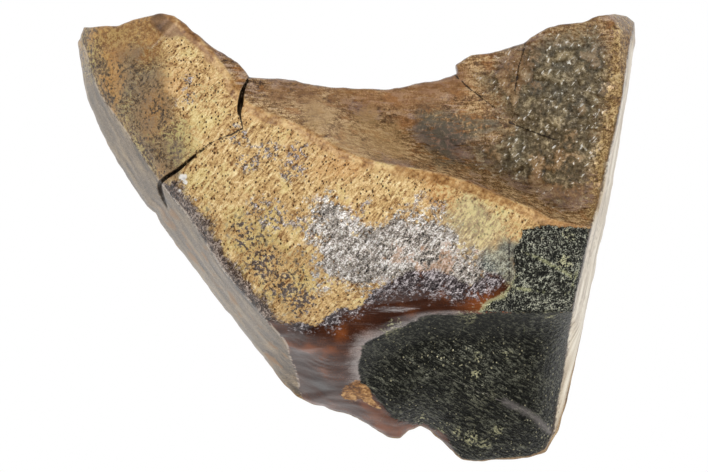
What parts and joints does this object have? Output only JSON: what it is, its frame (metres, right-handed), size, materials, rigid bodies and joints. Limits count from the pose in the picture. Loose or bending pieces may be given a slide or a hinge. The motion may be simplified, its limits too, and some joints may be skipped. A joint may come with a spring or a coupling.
{
  "type": "fossil dinosaur tooth",
  "caption": "Fossil tooth of a horned dinosaur: swollen lobe, flat flanks, dark wear scoop at the crown and stumps of two root prongs.",
  "frame": {"origin": "centre of the bounding box in plan, at the flat contact face that the tooth lies on", "axes": "+X from the left flank to the right flank, +Y from the worn crown to the root prongs, +Z out of the contact face"},
  "size_m": [0.0446, 0.036, 0.0176],
  "materials": {
    "fossil": "satin"
  },
  "bodies": {
    "root": {"tooth": "fossil"}
  },
  "joints": []
}
